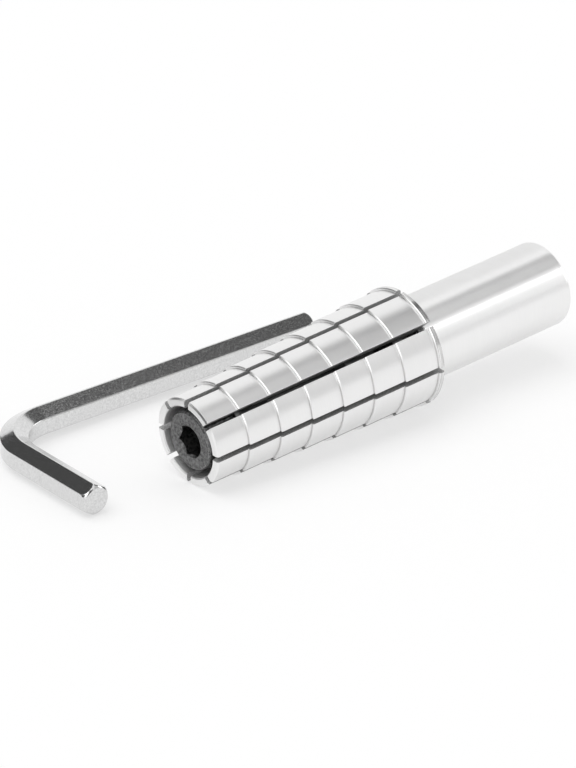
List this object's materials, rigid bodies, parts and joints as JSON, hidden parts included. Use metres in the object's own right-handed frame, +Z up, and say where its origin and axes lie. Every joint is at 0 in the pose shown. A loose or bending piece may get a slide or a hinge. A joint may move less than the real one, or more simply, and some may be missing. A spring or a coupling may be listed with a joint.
{
  "type": "ring stretcher",
  "caption": "Hand-held expanding ring mandrel: stepped steel jaws spread by wedges on a draw screw, with a plain round handle and a bent hexagon key.",
  "frame": {"origin": "centre of the footprint of the stretcher and its key, on the table", "axes": "+Z up from the table, +X along the stretcher from tip to handle, +Y from the stretcher to the key's long arm"},
  "size_m": [0.122, 0.0522, 0.026],
  "materials": {
    "polished_steel": "mirror polished, with fine turning marks",
    "black_oxide": "black oxide, satin",
    "plated_steel": "bright plated, slightly pitted",
    "hardened_steel": "ground"
  },
  "bodies": {
    "handle": {"handle": "polished_steel", "jaw_carrier": "hardened_steel", "retaining_ring": "hardened_steel", "guide_pin_1": "hardened_steel", "guide_pin_2": "hardened_steel"},
    "wedges": {"front_wedge": "hardened_steel", "wedge_sleeve": "hardened_steel", "rear_wedge": "hardened_steel", "thrust_washer": "hardened_steel"},
    "screw": {"draw_screw": "black_oxide", "release_clip": "black_oxide"},
    "jaw_1": {"jaw_1": "polished_steel"},
    "jaw_2": {"jaw_2": "polished_steel"},
    "jaw_3": {"jaw_3": "polished_steel"},
    "jaw_4": {"jaw_4": "polished_steel"},
    "jaw_5": {"jaw_5": "polished_steel"},
    "jaw_6": {"jaw_6": "polished_steel"},
    "jaw_7": {"jaw_7": "polished_steel"},
    "jaw_8": {"jaw_8": "polished_steel"},
    "hex_key": {"hex_key": "plated_steel"}
  },
  "joints": [
    {"name": "wedge_draw", "type": "slide", "parent": "handle", "child": "wedges", "axis": [0.998, 0, 0.0628], "range_m": [0, 0.00375]},
    {"name": "screw_turn", "type": "hinge", "parent": "wedges", "child": "screw", "pos_m": [-0.02722, -0.01315, 0.00999], "axis": [0.998, 0, 0.0628], "range_deg": [0, 1080]},
    {"name": "jaw_1_spread", "type": "slide", "parent": "handle", "child": "jaw_1", "axis": [-0.0589, 0.3453, 0.9366], "range_m": [0, 0.00075]},
    {"name": "jaw_2_spread", "type": "slide", "parent": "handle", "child": "jaw_2", "axis": [-0.0263, 0.9078, 0.4186], "range_m": [0, 0.00075]},
    {"name": "jaw_3_spread", "type": "slide", "parent": "handle", "child": "jaw_3", "axis": [0.0217, 0.9385, -0.3446], "range_m": [0, 0.00075]},
    {"name": "jaw_4_spread", "type": "slide", "parent": "handle", "child": "jaw_4", "axis": [0.057, 0.4195, -0.906], "range_m": [0, 0.00075]},
    {"name": "jaw_5_spread", "type": "slide", "parent": "handle", "child": "jaw_5", "axis": [0.0589, -0.3453, -0.9366], "range_m": [0, 0.00075]},
    {"name": "jaw_6_spread", "type": "slide", "parent": "handle", "child": "jaw_6", "axis": [0.0263, -0.9078, -0.4186], "range_m": [0, 0.00075]},
    {"name": "jaw_7_spread", "type": "slide", "parent": "handle", "child": "jaw_7", "axis": [-0.0217, -0.9385, 0.3446], "range_m": [0, 0.00075]},
    {"name": "jaw_8_spread", "type": "slide", "parent": "handle", "child": "jaw_8", "axis": [-0.057, -0.4195, 0.906], "range_m": [0, 0.00075]},
    {"name": "key_lift", "type": "slide", "parent": "handle", "child": "hex_key", "axis": [0, 0, 1], "range_m": [0, 0.06]}
  ],
  "couplings": [
    {"joint": "wedge_draw", "follows": "screw_turn", "m_per_rad": 0.00019894},
    {"joint": "jaw_1_spread", "follows": "screw_turn", "m_per_rad": 0.000039789},
    {"joint": "jaw_2_spread", "follows": "screw_turn", "m_per_rad": 0.000039789},
    {"joint": "jaw_3_spread", "follows": "screw_turn", "m_per_rad": 0.000039789},
    {"joint": "jaw_4_spread", "follows": "screw_turn", "m_per_rad": 0.000039789},
    {"joint": "jaw_5_spread", "follows": "screw_turn", "m_per_rad": 0.000039789},
    {"joint": "jaw_6_spread", "follows": "screw_turn", "m_per_rad": 0.000039789},
    {"joint": "jaw_7_spread", "follows": "screw_turn", "m_per_rad": 0.000039789},
    {"joint": "jaw_8_spread", "follows": "screw_turn", "m_per_rad": 0.000039789}
  ]
}
